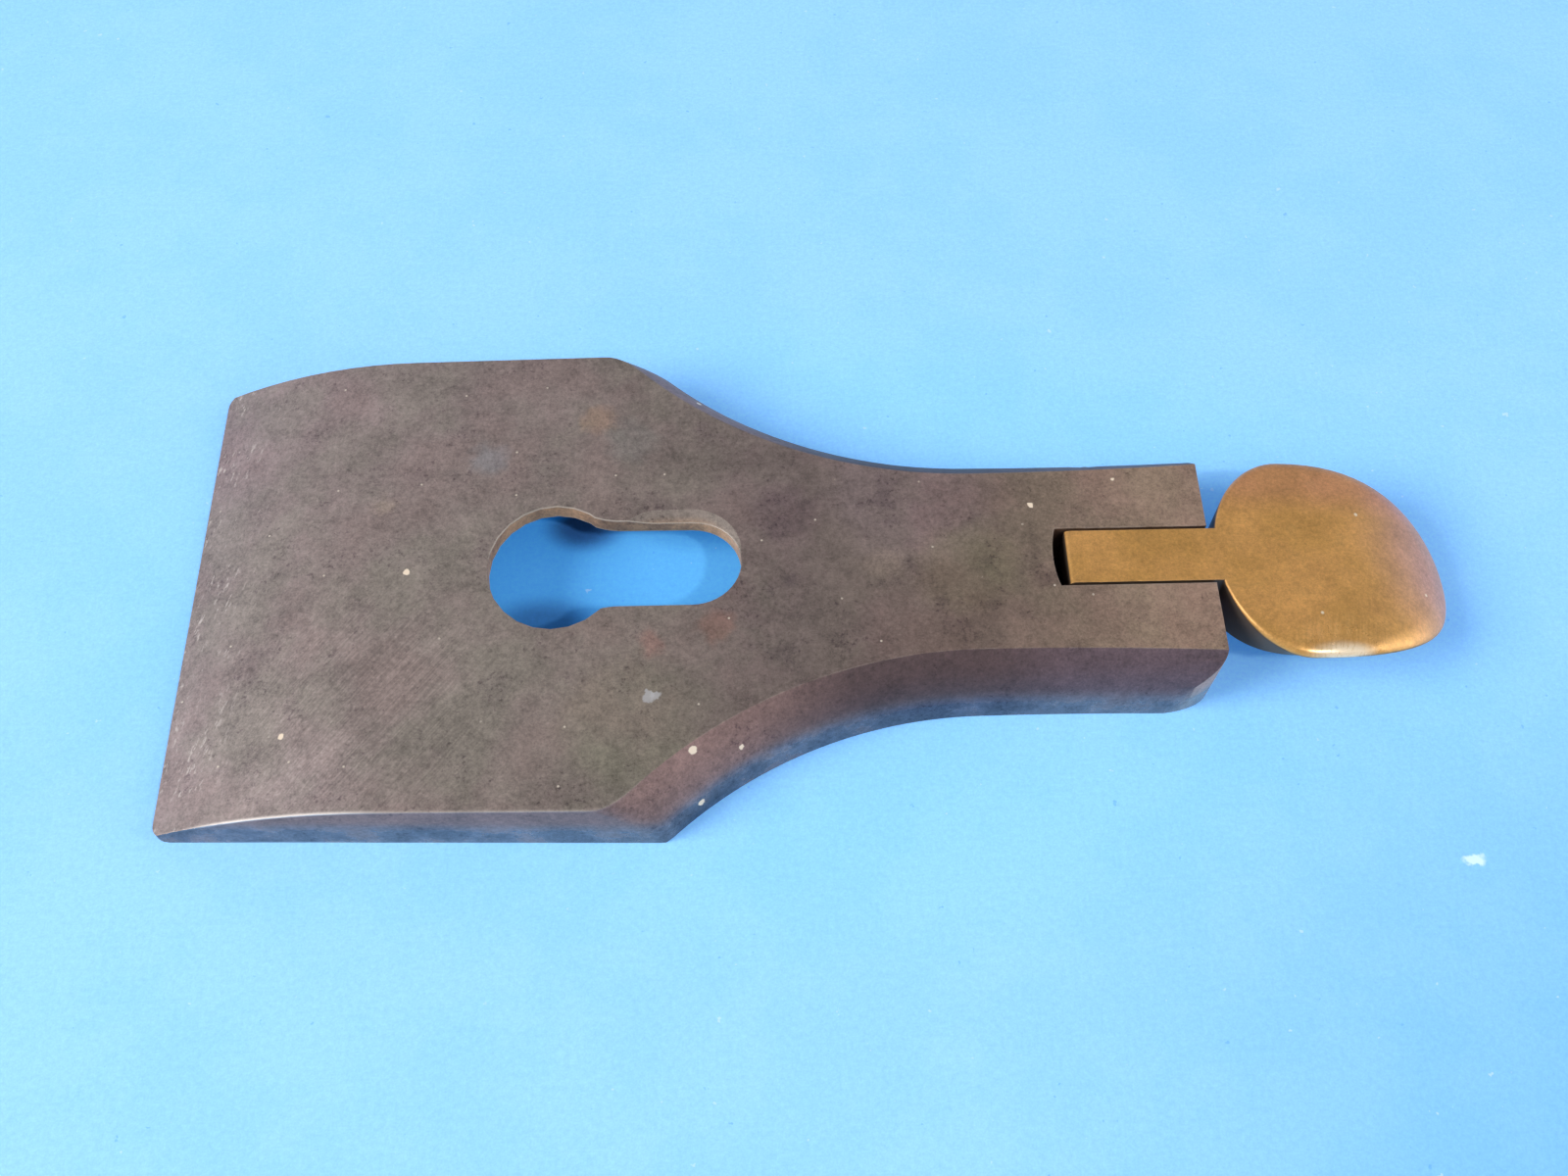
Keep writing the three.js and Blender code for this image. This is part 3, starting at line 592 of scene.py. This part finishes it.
def light_blue_card():
    """The ground: light blue card, faintly clouded, with a few small marks and painted shade round and under
    the cap and towards one corner.
    """
    material, paint = new_material("light_blue_card")
    place = paint.place()
    clouds = paint.noise(place, size=24, detail=7, roughness=0.75)
    fibres = paint.noise(place, size=0.6, seed=2, detail=2, roughness=1)
    marks = paint.noise(place, size=1.1, seed=1, detail=2)
    shaded = 0.8 * paint.spot(place, *NEAR_SHADE) + paint.spot(place, *FAR_SHADE)
    # Painted shade: deeper blue round the cap and under the keyhole
    colour = paint.mix(paint.spot(place, *SHADE_NEAR_CAP), OPEN_CARD, SHADED_NEAR_CARD)
    colour = paint.mix(paint.spot(place, *SHADE_INSIDE_KEYHOLE), colour, SHADED_COVERED_CARD)
    colour = paint.tint(shaded, colour, SHADE_FILTER)
    # Painted shade: the card dimmer towards one corner
    colour = paint.tint(paint.spot(place, *SHADED_CARD_CORNER), colour, SHADED_CARD_CORNER_FILTER)
    colour = paint.tint(clouds.rise(0.42, 0.58), colour, CLOUD_FILTER)
    colour = paint.scaled(colour, 1 + CARD_FIBRE_STRENGTH * (fibres - 0.5))
    colour = paint.mix(marks.rise(0.74, 0.78) * 0.4, colour, DARK_MARK)
    colour = paint.mix(marks.rise(0.26, 0.22) * 0.4, colour, PALE_MARK)
    white_mark = paint.spot(paint.ragged(place, size=0.8, push=1.4), *WHITE_MARK_PLACE)
    colour = paint.mix(white_mark, colour, WHITE_MARK)

    camera, glossy, glass = (
        paint.node("LightPath", output=kind)
        for kind in ("Is Camera Ray", "Is Glossy Ray", "Is Transmission Ray")
    )
    glow = paint.scaled(CARD_GLOW, (camera + glossy + glass) * (1 - shaded))
    paint.finish({"Base Color": colour, "Roughness": 0.9, "Emission Color": glow, "Emission Strength": 1})
    return material


def dress(node, material):
    """Gives a CAD piece its finish, smooth over its curves and crisp at its edges."""
    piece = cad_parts[node]
    piece.data.materials.clear()
    piece.data.materials.append(material)
    for face in piece.data.polygons:
        face.use_smooth = True
    piece.modifiers.new("weld", "WELD").merge_threshold = WELD_DISTANCE
    piece.modifiers.new("crisp", "EDGE_SPLIT").split_angle = CRISP_ANGLE
    even = piece.modifiers.new("even", "WEIGHTED_NORMAL")
    even.mode = "FACE_AREA_WITH_ANGLE"
    even.keep_sharp = True


def flat_sheet(name, size, material):
    """A square sheet that lies on the ground, centred under the cap."""
    half = size / 2
    mesh = bpy.data.meshes.new(name)
    corners = [(-half, -half, 0), (half, -half, 0), (half, half, 0), (-half, half, 0)]
    mesh.from_pydata(corners, [], [(0, 1, 2, 3)])
    mesh.materials.append(material)
    sheet = bpy.data.objects.new(name, mesh)
    bpy.context.scene.collection.objects.link(sheet)
    return sheet


def direction(bearing, elevation):
    """Unit vector towards a bearing, counted from +X towards +Y, at an elevation."""
    level = Vector((math.cos(bearing), math.sin(bearing), 0)) * math.cos(elevation)
    return level + Vector((0, 0, math.sin(elevation)))


def photograph_camera():
    """Camera at the photograph's viewpoint, looking down at the cap from its near side."""
    forward = direction(math.pi / 2 - CAMERA_TURN, -CAMERA_ELEVATION)
    level = direction(-CAMERA_TURN, 0)
    upright = level.cross(forward)
    right = math.cos(CAMERA_ROLL) * level + math.sin(CAMERA_ROLL) * upright
    up = math.cos(CAMERA_ROLL) * upright - math.sin(CAMERA_ROLL) * level
    data = bpy.data.cameras.new("photograph")
    data.sensor_width = SENSOR_WIDTH
    data.lens = FOCAL_PIXELS / PICTURE_WIDTH * SENSOR_WIDTH
    data.clip_start = NEAREST_SEEN
    camera = bpy.data.objects.new("photograph", data)
    aim = Vector(AIM) * MM + Vector((clamping_edge_x, 0, 0))
    facing = Matrix((right, up, -forward)).transposed().to_4x4()
    camera.matrix_world = Matrix.Translation(aim - forward * CAMERA_DISTANCE) @ facing
    bpy.context.scene.collection.objects.link(camera)
    bpy.context.scene.camera = camera


def lamp(name, share, bearing, elevation, width):
    """A round lamp that gives the ground the stated share of full light."""
    data = bpy.data.lights.new(name, "AREA")
    data.shape = "DISK"
    data.size = width
    data.color = LAMP_COLOUR
    data.energy = share * (math.pi * LAMP_REACH) ** 2 / math.sin(elevation)
    made = bpy.data.objects.new(name, data)
    towards = direction(bearing, elevation)
    made.location = towards * LAMP_REACH
    made.rotation_mode = "QUATERNION"
    made.rotation_quaternion = towards.to_track_quat("Z", "Y")
    bpy.context.scene.collection.objects.link(made)


def sky():
    """Even light all round, brighter towards the horizon than overhead."""
    world = bpy.data.worlds.new("sky")
    bpy.context.scene.world = world
    world.use_nodes = True
    paint = Paint(world.node_tree)
    upward = paint.part(paint.node("TexCoord", output="Generated"), "Z")
    level = paint.node("MapRange", None, {"Value": upward, "To Min": HORIZON_LEVEL, "To Max": ZENITH_LEVEL})
    light = paint.node("Background", None, {"Color": SKY_COLOUR, "Strength": level})
    paint.node("OutputWorld", None, {"Surface": light})


photograph_camera()
sky()
for name, (share, bearing, elevation, width) in LAMPS.items():
    lamp(name, share, math.radians(bearing), math.radians(elevation), width)

pin_steel = dull_steel("pin_steel", light=(0.3, 0.28, 0.26), dark=(0.14, 0.1, 0.08), smoothest=0.4)
blued_steel = dull_steel("blued_steel", light=(0.1, 0.11, 0.14), dark=(0.05, 0.05, 0.06), smoothest=0.35)
dress("cap_body", patinated_iron())
dress("cam_lever", aged_brass())
dress("pivot_pin", pin_steel)
dress("spring_rivet", pin_steel)
dress("leaf_spring", blued_steel)
flat_sheet("ground", FLOOR_SIZE, light_blue_card())

bpy.context.scene.view_settings.view_transform = "Standard"
